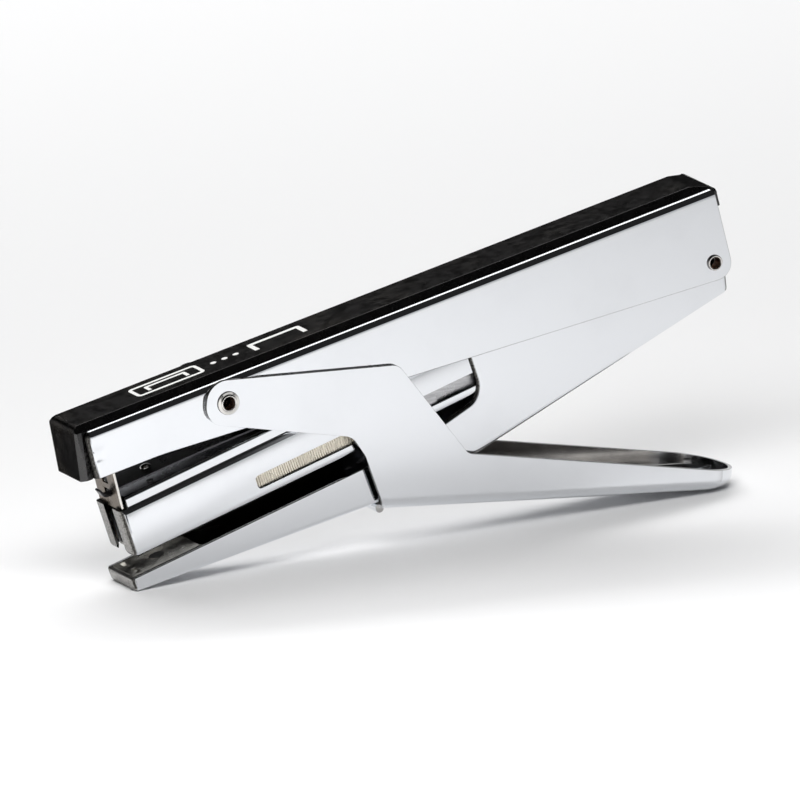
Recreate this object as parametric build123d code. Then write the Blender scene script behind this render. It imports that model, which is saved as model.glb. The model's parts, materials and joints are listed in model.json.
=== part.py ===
"""Plier stapler: a chromed sheet-steel hand stapler with a squeeze handle.

The nose points along -X, the rear along +X, and Z is up. The stapler stands on the
front of its anvil arm and the tail of its handle, on z = 0, with the origin at the
middle of its footprint. It is symmetric about the XZ plane.

Three shapes hinge on one axis, the rear rivets: the upper body, the magazine and the
anvil arm. Each is drawn in its own upright frame, with that axis at x = 0, z = 0, and
then tipped to its pitch. The handle is drawn about the front rivets. Lengths are in mm.
"""

import os
from math import cos, radians, sin

from build123d import *

# Pitch of each frame above the horizontal, in degrees, with the nose low
BODY_PITCH = 11.27
MAGAZINE_PITCH = 15.57
HANDLE_PITCH = -6.855

# Widths: half of each channel, outside, from the innermost piece to the outermost
RAIL_HALF = 5.75
STAPLE_HALF = 6.4
LID_HALF = 6.4
CASE_HALF = 7.2
ARM_NOSE_HALF = 7.2
ARM_REAR_HALF = 8.1
BODY_HALF = 9.0
HANDLE_HALF = 10.1

# Sheet thicknesses
CASE_SHEET = 0.7
LID_SHEET = 0.7
RAIL_SHEET = 0.6
ARM_SHEET = 0.8
ARM_REAR_SHEET = 0.75
BODY_SHEET = 0.8
HANDLE_SHEET = 1.0
SPRING_SHEET = 0.5

# Upper body: a channel that is open below and behind
BODY_FRONT = -164.5
BODY_REAR = 4.3
BODY_TOP = 17.2
BODY_NOSE_EDGE = 5.5
BODY_NOSE_LENGTH = 17.2
BODY_REAR_EDGE = -4.8
BODY_BEND = 1.8
BODY_CORNER = 1.7
BODY_REAR_ROUND = 4.0
BODY_EDGE_ROUND = 60.0
DIMPLE = (-162.6, 11.2)
DIMPLE_SPHERE = 12.0
DIMPLE_DEPTH = 0.3

# Cover strip along the top of the upper body
COVER_TOP = 18.9
COVER_TOP_HALF = 6.0
COVER_BASE_HALF = 7.2
COVER_BASE = BODY_TOP + 0.15
COVER_FRONT = -167.4
COVER_RAKE = 1.1
COVER_FRONT_ROUND = 1.9
COVER_NOSE_EDGE = BODY_NOSE_EDGE - 0.1
COVER_NOSE_SIDE = 1.4
COVER_TOP_END = -0.4
COVER_LIP = 0.6
COVER_LIP_START = BODY_TOP + 0.5
COVER_LIP_END = 12.8
COVER_LIP_HALF = BODY_HALF - 0.3
COVER_LIP_OVERLAP = 0.5
COVER_LIP_ROUND = 1.6
COVER_STUDS = (-140.0, -22.0)
COVER_STUD_RADIUS = 1.2

# Front rivets carry the handle; rear rivets carry the magazine and the arm
FRONT_PIVOT = (-128.2, 11.95)
FRONT_SHANK = 1.9
FRONT_BORE = 1.45
FRONT_FLANGE = 2.8
FRONT_INNER_FLANGE = 2.8
REAR_SHANK = 1.65
REAR_BORE = 1.4
REAR_FLANGE = 1.85
REAR_INNER_FLANGE = 2.3
RIVET_FLANGE_THICK = 0.35
RIVET_INNER_THICK = 0.4
RIVET_RIM = 0.25
RUNNING_GAP = 0.05

# Driver blade and the hooked tongue that holds the magazine at rest
DRIVER_FRONT = -159.05
DRIVER_THICK = 0.5
DRIVER_HALF = 6.2
DRIVER_TIP = -5.18
DRIVER_FOOT = 8.0
DRIVER_FOOT_BEND = 1.0
DRIVER_WINDOW_HALF = 1.55
DRIVER_WINDOWS = ((-2.5, -0.6), (0.8, 4.2))
TONGUE_HALF = 1.3
TONGUE_SHEET = 0.45
TONGUE_HOOK = -2.3
TONGUE_TIP = (-161.55, -0.35)

# Magazine
MAG_FRONT = -159.9
MAG_REAR = 3.2
CASE_TOP = 7.1
CASE_BOTTOM = -5.2
CASE_BEND = 1.5
CASE_CORNER = 1.4
CASE_LEAN = (1.2, 0.45)
LID_FRONT = -157.5
LID_TOP = 9.8
LID_EDGE = 5.2
NOSE_SLOT_HALF = 2.4
NOSE_SLOT_FLARE = (1.2, 1.5)
NOSE_EXIT = 1.7
WINDOW = (-125.4, -48.0, -2.7, 0.6)
WINDOW_ROUND = 1.0
RAIL_TOP = 2.9
RAIL_REAR = -12.0
STAPLE_FRONT = -157.9
STAPLE_REAR = -84.0
STAPLE_WIRE = 0.55
STAPLE_TIP = -3.9
LEAF_HALF = 5.0
LEAF_FRONT = -157.2
LEAF_RISE = 1.9

# Follower: rod, pusher, spring and catch plate
ROD_HEIGHT = 6.0
ROD_RADIUS = 1.1
ROD_FRONT = -150.0
PUSHER_LENGTH = 8.0
SPRING_RADIUS = 2.1
SPRING_WIRE = 0.5
CATCH_FRONT = 1.4
CATCH_THICK = 0.8
CATCH_HALF = 5.4
CATCH_FOOT = -3.4
CATCH_TAB = 2.0

# Anvil arm
ARM_FRONT = -162.4
ARM_TOP = -9.45
ARM_NOSE_BOTTOM = -12.9
ARM_HEEL = (-86.0, -20.2)
ARM_REAR_CORNER = (1.5, -8.5)
ARM_BEND = 1.2
ARM_CORNER = 0.9
ARM_NOTCH = (-65.7, -5.1)
ARM_REAR_EDGE = 3.3
ARM_EAR_TOP = 11.0
ARM_JOG = (-99.0, -92.0)
ARM_FLOOR_END = -50.0
ANVIL_TOP = -9.35
ANVIL_FRONT = -161.4
ANVIL_REAR = -143.2
ANVIL_THICK = 1.6
ANVIL_HALF = 6.1
ANVIL_RIVET_X = -152.1
POCKET_X = -159.2
POCKET_Y = 3.0
POCKET_RADIUS = 5.0
POCKET_DEPTH = 0.45
POCKET_LENGTH = 1.3
ANVIL_RIVET_RADIUS = 1.2

# Handle, about the front pivot
HANDLE_EAR = 5.6
HANDLE_EAR_TOP = 5.3
HANDLE_EAR_LOW = -4.9
HANDLE_FLOOR = -26.7
HANDLE_TAIL_CENTRE = 126.7
HANDLE_BEND = 3.2
HANDLE_TAIL_TOP = -22.4
HANDLE_SHOULDER = (43.8, 7.4)
HANDLE_WAIST = (63.4, -14.7)
HANDLE_KNEE = ((36.5, -14.2), (32.8, -9.5))
LIP = (42.6, -27.7)
LIP_RADIUS = 1.1
LIP_DIP = 1.1  # how far the web slopes down towards the lip

# Small rivets: along the upper body, and along the magazine
DRIVER_RIVET_X = DRIVER_FRONT + 4.6
DRIVER_RIVET_Y = (-4.0, 4.0)
LEAF_RIVET_X = -92.0
LEAF_BUTTON_X = -147.9
DRIVER_RIVET_RADIUS = 1.0
TONGUE_RIVET_RADIUS = 0.8
LEAF_RIVET_RADIUS = 1.0
LEAF_BUTTON_RADIUS = 0.8

# A length that passes right through any part
PAST = 60.0


def outline(*corners):
    """A closed face in the XZ plane. A corner is (x, z) or (x, z, radius)."""
    points = [corner[:2] for corner in corners]
    radii = [corner[2] if len(corner) > 2 else 0 for corner in corners]
    wire = FilletPolyline(*points, radius=radii, close=True)
    return Plane.XZ * make_face(wire)


def slab(half_width, *corners):
    """The outline's solid, from -half_width to half_width across the stapler."""
    return extrude(outline(*corners), amount=half_width, both=True)


def box(x, y, z):
    """A box from three (low, high) pairs."""
    sizes = [high - low for low, high in (x, y, z)]
    centre = [(low + high) / 2 for low, high in (x, y, z)]
    return Pos(*centre) * Box(*sizes)


def crosswise(radius, x, z, y_low, y_high):
    """A cylinder along Y."""
    length = y_high - y_low
    middle = (y_low + y_high) / 2
    return Pos(x, middle, z) * Rot(90, 0, 0) * Cylinder(radius, length)


def upright(radius, x, y, z_low, z_high):
    """A cylinder along Z."""
    return Pos(x, y, (z_low + z_high) / 2) * Cylinder(radius, z_high - z_low)


def pivot_hole(radius, x=0.0, z=0.0):
    return crosswise(radius, x, z, -PAST, PAST)


def along_sides(part, half_width, keep):
    """The part's edges that lie flat on its two sides and pass the test keep."""
    found = []
    for edge in part.edges():
        ends = [edge @ 0, edge @ 0.5, edge @ 1]
        if all(abs(abs(point.Y) - half_width) < 1e-4 for point in ends):
            if keep(edge @ 0.5):
                found.append(edge)
    return found


def lowest_edges(part):
    """The edges round the part's lowest face, but not those across the stapler."""
    floor = part.faces().sort_by(Axis.Z)[0]
    return [edge for edge in floor.edges() if abs((edge @ 0.5).Y) > 1 or is_round(edge)]


def is_round(edge):
    return edge.geom_type == GeomType.CIRCLE


def tip(part, pitch):
    """Tip a part about the Y axis, so that its nose (-X) goes down by pitch."""
    return Rot(0, -pitch, 0) * part


def turned(x, z, pitch):
    """A point of a tipped frame, in the frame that it is tipped in."""
    angle = radians(pitch)
    return x * cos(angle) - z * sin(angle), x * sin(angle) + z * cos(angle)


# ---------------------------------------------------------------- upper body


def make_body_shell():
    bend_start = BODY_FRONT + BODY_NOSE_LENGTH
    shell = slab(
        BODY_HALF,
        (BODY_FRONT, BODY_NOSE_EDGE),
        (BODY_FRONT, BODY_TOP),
        (BODY_REAR, BODY_TOP),
        (BODY_REAR, BODY_REAR_EDGE, BODY_REAR_ROUND),
        (bend_start, BODY_NOSE_EDGE, BODY_EDGE_ROUND),
    )
    top = along_sides(shell, BODY_HALF, lambda p: p.Z > BODY_TOP - 0.01)
    shell = fillet(top, BODY_BEND)
    corners = shell.edges().filter_by(Axis.Z).group_by(Axis.X)[0]
    shell = fillet(corners, BODY_CORNER)
    hollow_half = BODY_HALF - BODY_SHEET
    hollow = slab(
        hollow_half,
        (BODY_FRONT + BODY_SHEET, -PAST),
        (BODY_FRONT + BODY_SHEET, BODY_TOP - BODY_SHEET),
        (PAST, BODY_TOP - BODY_SHEET),
        (PAST, -PAST),
    )
    inner_corners = hollow.edges().filter_by(Axis.Z).group_by(Axis.X)[0]
    hollow = fillet(inner_corners, BODY_CORNER - BODY_SHEET)
    inner_top = along_sides(hollow, hollow_half, lambda p: p.Z > BODY_TOP - BODY_SHEET - 0.01)
    hollow = fillet(inner_top, BODY_BEND - BODY_SHEET)
    shell -= hollow
    shell -= pivot_hole(FRONT_SHANK, *FRONT_PIVOT)
    shell -= pivot_hole(REAR_SHANK)
    for x in COVER_STUDS:
        shell -= upright(COVER_STUD_RADIUS, x, 0, BODY_TOP - 2, BODY_TOP + 2)
    for y in DRIVER_RIVET_Y:
        shell -= upright(DRIVER_RIVET_RADIUS, DRIVER_RIVET_X, y, BODY_TOP - 2, BODY_TOP + 2)
    dimple_y = BODY_HALF + DIMPLE_SPHERE - DIMPLE_DEPTH
    for side in (-1, 1):
        shell -= Pos(DIMPLE[0], side * dimple_y, DIMPLE[1]) * Sphere(DIMPLE_SPHERE)
    return shell


def make_top_cover():
    lip_start = BODY_REAR - COVER_LIP_OVERLAP
    lip_rear = BODY_REAR + COVER_LIP
    strip = slab(
        COVER_BASE_HALF,
        (COVER_FRONT, COVER_NOSE_EDGE),
        (COVER_FRONT + COVER_RAKE, COVER_TOP, COVER_FRONT_ROUND),
        (COVER_TOP_END, COVER_TOP, 1.0),
        (lip_start, COVER_LIP_START),
        (BODY_REAR, BODY_TOP),
        (BODY_FRONT, BODY_TOP),
        (BODY_FRONT, COVER_NOSE_EDGE),
    )
    section = Plane.YZ * make_face(
        Polyline(
            (-COVER_BASE_HALF, 0),
            (-COVER_BASE_HALF, COVER_BASE),
            (-COVER_TOP_HALF, COVER_TOP),
            (COVER_TOP_HALF, COVER_TOP),
            (COVER_BASE_HALF, COVER_BASE),
            (COVER_BASE_HALF, 0),
            close=True,
        )
    )
    strip &= extrude(section, amount=PAST * 4, both=True)
    nose_side = COVER_FRONT + COVER_NOSE_SIDE
    plan = make_face(
        Polyline(
            (PAST, -COVER_BASE_HALF),
            (nose_side, -COVER_BASE_HALF),
            (COVER_FRONT - 0.1, -COVER_TOP_HALF),
            (COVER_FRONT - 0.1, COVER_TOP_HALF),
            (nose_side, COVER_BASE_HALF),
            (PAST, COVER_BASE_HALF),
            close=True,
        )
    )
    strip &= extrude(plan, amount=PAST, both=True)
    hood = slab(
        COVER_LIP_HALF,
        (lip_start, BODY_TOP),
        (lip_start, COVER_LIP_START),
        (lip_rear, BODY_TOP - 0.1, 0.5),
        (lip_rear, COVER_LIP_END),
        (BODY_REAR, COVER_LIP_END),
        (BODY_REAR, BODY_TOP),
    )
    hood_size = (COVER_LIP_HALF * 2, PAST, COVER_LIP_ROUND)
    over = Plane.YZ * Pos(0, COVER_LIP_START - PAST / 2) * RectangleRounded(*hood_size)
    hood &= extrude(over, amount=PAST, both=True)
    cover = strip + hood
    for x in COVER_STUDS:
        cover += upright(COVER_STUD_RADIUS, x, 0, BODY_TOP - 1.4, COVER_TOP - 1.0)
    return cover


def make_driver_blade():
    under_top = BODY_TOP - BODY_SHEET
    blade = slab(
        DRIVER_HALF,
        (DRIVER_FRONT, DRIVER_TIP),
        (DRIVER_FRONT, under_top, DRIVER_FOOT_BEND),
        (DRIVER_FRONT + DRIVER_FOOT, under_top),
        (DRIVER_FRONT + DRIVER_FOOT, under_top - DRIVER_THICK),
        (DRIVER_FRONT + DRIVER_THICK, under_top - DRIVER_THICK, DRIVER_FOOT_BEND / 2),
        (DRIVER_FRONT + DRIVER_THICK, DRIVER_TIP),
    )
    for low, high in DRIVER_WINDOWS:
        across = (-DRIVER_WINDOW_HALF, DRIVER_WINDOW_HALF)
        blade -= box((DRIVER_FRONT - 1, DRIVER_FRONT + 1), across, (low, high))
    for y in DRIVER_RIVET_Y:
        blade -= upright(DRIVER_RIVET_RADIUS, DRIVER_RIVET_X, y, 0, PAST)
    return blade


def make_catch_tongue():
    """A spring strip: foot, long drop behind the driver, hook through its window."""
    back = DRIVER_FRONT + DRIVER_THICK
    foot_top = BODY_TOP - BODY_SHEET - DRIVER_THICK
    foot_rear = back + DRIVER_FOOT - 1
    tip_x, tip_z = TONGUE_TIP
    tongue = slab(
        TONGUE_HALF,
        (back, foot_top, 0.6),
        (foot_rear, foot_top),
        (foot_rear, foot_top - TONGUE_SHEET),
        (back + TONGUE_SHEET, foot_top - TONGUE_SHEET, 0.3),
        (back + TONGUE_SHEET, TONGUE_HOOK, 0.5),
        (-160.6, TONGUE_HOOK, 1.2),
        (tip_x, tip_z),
        (tip_x + 0.4, tip_z + 0.35),
        (-160.2, TONGUE_HOOK + 0.6, 1.0),
        (back, TONGUE_HOOK + 0.6),
    )
    return tongue - upright(TONGUE_RIVET_RADIUS, DRIVER_RIVET_X, 0, 0, PAST)


def make_driver_rivets():
    """Two rivets hold the driver's foot; a small one holds the tongue to it."""
    low = BODY_TOP - BODY_SHEET - DRIVER_THICK - 0.6
    rivets = []
    for y in DRIVER_RIVET_Y:
        shank = upright(DRIVER_RIVET_RADIUS, DRIVER_RIVET_X, y, low, BODY_TOP)
        head = upright(DRIVER_RIVET_RADIUS + 0.7, DRIVER_RIVET_X, y, low, low + 0.6)
        rivets.append(shank + head)
    small_low = low - 0.45
    small_top = BODY_TOP - BODY_SHEET - 0.02
    small = upright(TONGUE_RIVET_RADIUS, DRIVER_RIVET_X, 0, small_low, small_top)
    head = upright(TONGUE_RIVET_RADIUS + 0.4, DRIVER_RIVET_X, 0, small_low, small_low + 0.5)
    rivets.append(small + head)
    return Compound(children=rivets)


def hollow_rivet(x, z, side, shank, bore, inside, outside, flange, inner_flange):
    """One hollow rivet along Y, with a head on each end and a rolled outer rim."""
    outer = outside + RIVET_FLANGE_THICK
    rim_radius = (shank + bore) / 2 + 0.1
    rivet = crosswise(shank, x, z, inside, outer)
    rivet += crosswise(flange, x, z, outside, outer)
    rivet += crosswise(inner_flange, x, z, inside, inside + RIVET_INNER_THICK)
    rim = Pos(x, outer, z) * Rot(90, 0, 0) * Torus(rim_radius, RIVET_RIM)
    rivet += rim
    rivet -= crosswise(bore, x, z, inside - 1, outer + 1)
    return rivet if side > 0 else mirror(rivet, about=Plane.XZ)


def make_front_rivets():
    inside = BODY_HALF - BODY_SHEET - RIVET_INNER_THICK
    outside = HANDLE_HALF + RUNNING_GAP
    sizes = (FRONT_SHANK, FRONT_BORE, inside, outside, FRONT_FLANGE, FRONT_INNER_FLANGE)
    rivets = [hollow_rivet(*FRONT_PIVOT, side, *sizes) for side in (-1, 1)]
    return Compound(children=rivets)


def make_rear_rivets():
    inside = CASE_HALF - CASE_SHEET - RUNNING_GAP - RIVET_INNER_THICK
    sizes = (REAR_SHANK, REAR_BORE, inside, BODY_HALF, REAR_FLANGE, REAR_INNER_FLANGE)
    rivets = [hollow_rivet(0, 0, side, *sizes) for side in (-1, 1)]
    return Compound(children=rivets)


# ------------------------------------------------------------------ magazine


def make_magazine_case():
    case = slab(
        CASE_HALF,
        (MAG_FRONT, CASE_BOTTOM),
        (MAG_FRONT, CASE_TOP),
        (MAG_REAR, CASE_TOP),
        (MAG_REAR, CASE_BOTTOM),
    )
    bottom = along_sides(case, CASE_HALF, lambda p: p.Z < CASE_BOTTOM + 0.01)
    case = fillet(bottom, CASE_BEND)
    corners = case.edges().filter_by(Axis.Z).group_by(Axis.X)[0]
    case = fillet(corners, CASE_CORNER)
    hollow_half = CASE_HALF - CASE_SHEET
    hollow = slab(
        hollow_half,
        (MAG_FRONT + CASE_SHEET, CASE_BOTTOM + CASE_SHEET),
        (MAG_FRONT + CASE_SHEET, PAST),
        (PAST, PAST),
        (PAST, CASE_BOTTOM + CASE_SHEET),
    )
    floor = along_sides(hollow, hollow_half, lambda p: p.Z < 0 and p.X > MAG_FRONT + 5)
    hollow = fillet(floor, CASE_BEND - CASE_SHEET - 0.2)
    inner_corners = hollow.edges().filter_by(Axis.Z).group_by(Axis.X)[0]
    hollow = fillet(inner_corners, CASE_CORNER - CASE_SHEET - 0.1)
    case -= hollow
    # the top of each wall leans in over the lid
    drop, lean_in = CASE_LEAN
    lean_low = CASE_TOP - drop
    past_side = CASE_HALF + 0.5
    past_top = CASE_TOP + 0.1
    for side in (-1, 1):
        lean = Plane.YZ * make_face(
            Polyline(
                (side * past_side, lean_low),
                (side * CASE_HALF, lean_low),
                (side * (CASE_HALF - lean_in), past_top),
                (side * past_side, past_top),
                close=True,
            )
        )
        case -= extrude(lean, amount=PAST * 4, both=True)
    # slot down the nose between the two folded flanges, flared at its foot
    flare, flare_top = NOSE_SLOT_FLARE
    slot = Plane.YZ * make_face(
        Polyline(
            (-NOSE_SLOT_HALF, PAST),
            (-NOSE_SLOT_HALF, CASE_BOTTOM + flare_top),
            (-NOSE_SLOT_HALF - flare, CASE_BOTTOM - 0.1),
            (NOSE_SLOT_HALF + flare, CASE_BOTTOM - 0.1),
            (NOSE_SLOT_HALF, CASE_BOTTOM + flare_top),
            (NOSE_SLOT_HALF, PAST),
            close=True,
        )
    )
    case -= Pos(MAG_FRONT, 0, 0) * extrude(slot, amount=CASE_SHEET + 0.01, both=True)
    # exit through the floor, where the driver pushes a staple out
    exit_x = (MAG_FRONT + CASE_SHEET, MAG_FRONT + CASE_SHEET + NOSE_EXIT)
    case -= box(exit_x, (-hollow_half, hollow_half), (CASE_BOTTOM - 1, 0))
    left, right, low, high = WINDOW
    corners = [(x, z) for x in (left, right) for z in (low, high)]
    ring = [corners[0], corners[1], corners[3], corners[2]]
    case -= slab(PAST, *[(x, z, WINDOW_ROUND) for x, z in ring])
    return case - pivot_hole(REAR_SHANK + RUNNING_GAP)


def make_magazine_lid():
    rear = MAG_REAR - 0.6
    lid = slab(
        LID_HALF,
        (LID_FRONT, LID_EDGE),
        (LID_FRONT, LID_TOP),
        (rear, LID_TOP),
        (rear, LID_EDGE),
    )
    top = along_sides(lid, LID_HALF, lambda p: p.Z > LID_TOP - 0.01)
    lid = fillet(top, 0.9)
    inside = (-LID_HALF + LID_SHEET, LID_HALF - LID_SHEET)
    lid -= box((-PAST * 4, PAST), inside, (-PAST, LID_TOP - LID_SHEET))
    return lid - upright(LEAF_RIVET_RADIUS, LEAF_RIVET_X, 0, 0, PAST)


def make_staple_rail():
    rail = slab(
        RAIL_HALF,
        (STAPLE_FRONT + RUNNING_GAP, CASE_BOTTOM + CASE_SHEET),
        (STAPLE_FRONT + RUNNING_GAP, RAIL_TOP),
        (RAIL_REAR, RAIL_TOP),
        (RAIL_REAR, CASE_BOTTOM + CASE_SHEET),
    )
    top = along_sides(rail, RAIL_HALF, lambda p: p.Z > RAIL_TOP - 0.01)
    rail = fillet(top, 0.5)
    inside = (-RAIL_HALF + RAIL_SHEET, RAIL_HALF - RAIL_SHEET)
    return rail - box((-PAST * 4, PAST), inside, (-PAST, RAIL_TOP - RAIL_SHEET))


def make_staple_strip():
    top = RAIL_TOP + RUNNING_GAP + STAPLE_WIRE
    strip = box(
        (STAPLE_FRONT, STAPLE_REAR), (-STAPLE_HALF, STAPLE_HALF), (STAPLE_TIP, top)
    )
    edges = strip.edges().filter_by(Axis.X).group_by(Axis.Z)[-1]
    strip = fillet(edges, 0.3)
    inside = (-STAPLE_HALF + STAPLE_WIRE, STAPLE_HALF - STAPLE_WIRE)
    return strip - box((-PAST * 4, PAST), inside, (-PAST, top - STAPLE_WIRE))


def make_return_leaf():
    """The leaf that pushes the magazine away from the upper body."""
    low = LID_TOP
    high = LID_TOP + SPRING_SHEET
    middle_rise = LEAF_RISE - 0.6
    leaf = slab(
        LEAF_HALF,
        (LEAF_FRONT, low + LEAF_RISE),
        (LEAF_FRONT, high + LEAF_RISE),
        (-134.0, high + middle_rise, 40.0),
        (-108.0, high, 40.0),
        (-84.0, high),
        (-84.0, low),
        (-108.0, low, 40.0),
        (-134.0, low + middle_rise, 40.0),
    )
    leaf -= upright(LEAF_RIVET_RADIUS, LEAF_RIVET_X, 0, 0, PAST)
    return leaf - upright(LEAF_BUTTON_RADIUS, LEAF_BUTTON_X, 0, 0, PAST)


def make_leaf_rivets():
    """A rivet through the lid and the leaf, and a button with a domed head."""
    low = LID_TOP - LID_SHEET - 0.5
    leaf_top = LID_TOP + SPRING_SHEET
    rivet = upright(LEAF_RIVET_RADIUS, LEAF_RIVET_X, 0, low, leaf_top)
    rivet += upright(LEAF_RIVET_RADIUS + 0.8, LEAF_RIVET_X, 0, leaf_top, leaf_top + 0.6)
    rivet += upright(LEAF_RIVET_RADIUS + 0.6, LEAF_RIVET_X, 0, low, low + 0.5)
    leaf_low = LID_TOP + 1.5
    button = upright(LEAF_BUTTON_RADIUS, LEAF_BUTTON_X, 0, leaf_low - 0.3, leaf_low + 0.9)
    dome = Pos(LEAF_BUTTON_X, 0, leaf_low - 0.1) * Sphere(1.5)
    dome &= upright(2.0, LEAF_BUTTON_X, 0, leaf_low + 0.62, PAST)
    return Compound(children=[rivet, button + dome])


# ------------------------------------------------------------------ follower


def make_follower_rod():
    length = CATCH_FRONT - ROD_FRONT
    middle = (CATCH_FRONT + ROD_FRONT) / 2
    rod = Pos(middle, 0, ROD_HEIGHT) * Rot(0, 90, 0) * Cylinder(ROD_RADIUS, length)
    ends = rod.edges().filter_by(GeomType.CIRCLE).sort_by(Axis.X)
    return chamfer(ends[0], 0.4)


def make_follower_catch():
    """The rod's end plate, with a finger tab turned out at its foot."""
    rear = CATCH_FRONT + CATCH_THICK
    top = LID_TOP - LID_SHEET - 0.3
    tab_top = CATCH_FOOT + CATCH_THICK
    catch = slab(
        CATCH_HALF,
        (CATCH_FRONT, CATCH_FOOT),
        (CATCH_FRONT, top),
        (rear, top),
        (rear, tab_top, 0.3),
        (rear + CATCH_TAB, tab_top),
        (rear + CATCH_TAB, CATCH_FOOT),
    )
    tab = catch.edges().filter_by(Axis.Z).group_by(Axis.X)[-1]
    return fillet(tab, CATCH_TAB - 0.2)


def make_pusher():
    front = STAPLE_REAR + 0.1
    rear = front + PUSHER_LENGTH
    saddle = box((front, rear), (-6.3, 6.3), (STAPLE_TIP, 4.9))
    block = box((front + 0.8, rear), (-5.3, 5.3), (4.0, 8.6))
    block = fillet(block.edges().filter_by(Axis.X).group_by(Axis.Z)[-1], 0.8)
    pusher = saddle + block
    inside = (-RAIL_HALF - 0.1, RAIL_HALF + 0.1)
    pusher -= box((front - 1, rear + 1), inside, (-PAST, RAIL_TOP + 0.1))
    bore = Pos(front, 0, ROD_HEIGHT) * Rot(0, 90, 0)
    return pusher - bore * Cylinder(ROD_RADIUS + 0.08, PAST)


def make_pusher_spring():
    """The envelope of the coil spring that presses the pusher forwards."""
    front = STAPLE_REAR + 0.1 + PUSHER_LENGTH
    length = CATCH_FRONT - front
    place = Pos((front + CATCH_FRONT) / 2, 0, ROD_HEIGHT) * Rot(0, 90, 0)
    coil = Cylinder(SPRING_RADIUS, length) - Cylinder(SPRING_RADIUS - SPRING_WIRE, length)
    return place * coil


# ----------------------------------------------------------------- anvil arm


def arm_floor(x):
    """Height of the arm's underside, which drops to the heel and rises behind it."""
    if x < ARM_HEEL[0]:
        start, end = (ARM_FRONT, ARM_NOSE_BOTTOM), ARM_HEEL
    else:
        start, end = ARM_HEEL, ARM_REAR_CORNER
    slope = (end[1] - start[1]) / (end[0] - start[0])
    return start[1] + slope * (x - start[0])


def arm_plan(front, nose_half, rear_half):
    """The arm seen from above: narrow at the nose, wider behind the jog."""
    rear = PAST
    points = [
        (front, nose_half),
        (ARM_JOG[0], nose_half),
        (ARM_JOG[1], rear_half),
        (rear, rear_half),
    ]
    points += [(x, -y) for x, y in reversed(points)]
    return extrude(make_face(Polyline(*points, close=True)), amount=PAST * 2, both=True)


def under_edges(part, half_width):
    """The long edges under the arm, down both of its sides."""
    found = []
    for edge in part.edges():
        middle = edge @ 0.5
        on_side = abs(middle.Y) > half_width - 0.01
        level = abs((edge @ 0).Y - (edge @ 1).Y) < 2
        under = abs(middle.Z - arm_floor(middle.X)) < 0.6
        if on_side and level and under and middle.X < ARM_REAR_CORNER[0] - 1:
            found.append(edge)
    return found


def make_anvil_arm():
    side = slab(
        ARM_REAR_HALF,
        (ARM_FRONT + 0.2, ARM_NOSE_BOTTOM),
        (ARM_FRONT, ARM_TOP),
        (-90.0, ARM_TOP, 14.0),
        (*ARM_NOTCH, 4.5),
        (ARM_NOTCH[0], ARM_EAR_TOP, 2.0),
        (ARM_REAR_EDGE - 0.2, ARM_EAR_TOP, 4.0),
        (ARM_REAR_EDGE, 0.0, 3.0),
        (*ARM_REAR_CORNER, 1.5),
        (*ARM_HEEL, 30.0),
    )
    arm = side & arm_plan(ARM_FRONT - 1, ARM_NOSE_HALF, ARM_REAR_HALF)
    arm = fillet(under_edges(arm, ARM_NOSE_HALF), ARM_BEND)
    near = ARM_FRONT + 0.3
    front = [edge for edge in arm.edges() if max((edge @ 0).X, (edge @ 1).X) < near]
    front = [edge for edge in front if min((edge @ 0).Z, (edge @ 1).Z) < ARM_TOP - 0.01]
    arm = fillet(front, ARM_CORNER)
    nose_inner = ARM_NOSE_HALF - ARM_SHEET
    rear_inner = ARM_REAR_HALF - ARM_REAR_SHEET
    hollow = slab(
        ARM_REAR_HALF,
        (ARM_FRONT + ARM_SHEET, arm_floor(ARM_FRONT) + ARM_SHEET),
        (ARM_FRONT + ARM_SHEET, PAST),
        (PAST, PAST),
        (PAST, -PAST),
        (ARM_FLOOR_END, -PAST),
        (ARM_FLOOR_END, arm_floor(ARM_FLOOR_END) + ARM_SHEET, 1.0),
        (ARM_HEEL[0], ARM_HEEL[1] + ARM_SHEET, 29.0),
    )
    hollow &= arm_plan(ARM_FRONT - 1, nose_inner, rear_inner)
    arm -= hollow
    return arm - pivot_hole(REAR_SHANK + RUNNING_GAP)


def make_anvil_plate():
    plate = box(
        (ANVIL_FRONT, ANVIL_REAR),
        (-ANVIL_HALF, ANVIL_HALF),
        (ANVIL_TOP - ANVIL_THICK, ANVIL_TOP),
    )
    plate = fillet(plate.edges().filter_by(Axis.Z), 1.0)
    pocket_z = ANVIL_TOP + POCKET_RADIUS - POCKET_DEPTH
    for side in (-1, 1):
        place = Pos(POCKET_X, side * POCKET_Y, pocket_z) * Rot(0, 90, 0)
        plate -= place * Cylinder(POCKET_RADIUS, POCKET_LENGTH)
    return plate - upright(ANVIL_RIVET_RADIUS, ANVIL_RIVET_X, 0, -PAST, PAST)


def make_anvil_spacer():
    front = ANVIL_RIVET_X - 5.0
    rear = ANVIL_RIVET_X + 5.0
    top = ANVIL_TOP - ANVIL_THICK
    spacer = slab(
        4.5,
        (front, arm_floor(front) + ARM_SHEET + 0.25),
        (front, top),
        (rear, top),
        (rear, arm_floor(rear) + ARM_SHEET + 0.25),
    )
    return spacer - upright(ANVIL_RIVET_RADIUS, ANVIL_RIVET_X, 0, -PAST, PAST)


def make_anvil_rivet():
    low = arm_floor(ANVIL_RIVET_X) + ARM_SHEET + 0.25
    rivet = upright(ANVIL_RIVET_RADIUS, ANVIL_RIVET_X, 0, low, ANVIL_TOP)
    rim = upright(ANVIL_RIVET_RADIUS + 0.7, ANVIL_RIVET_X, 0, ANVIL_TOP, ANVIL_TOP + 0.08)
    return rivet + rim


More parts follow.
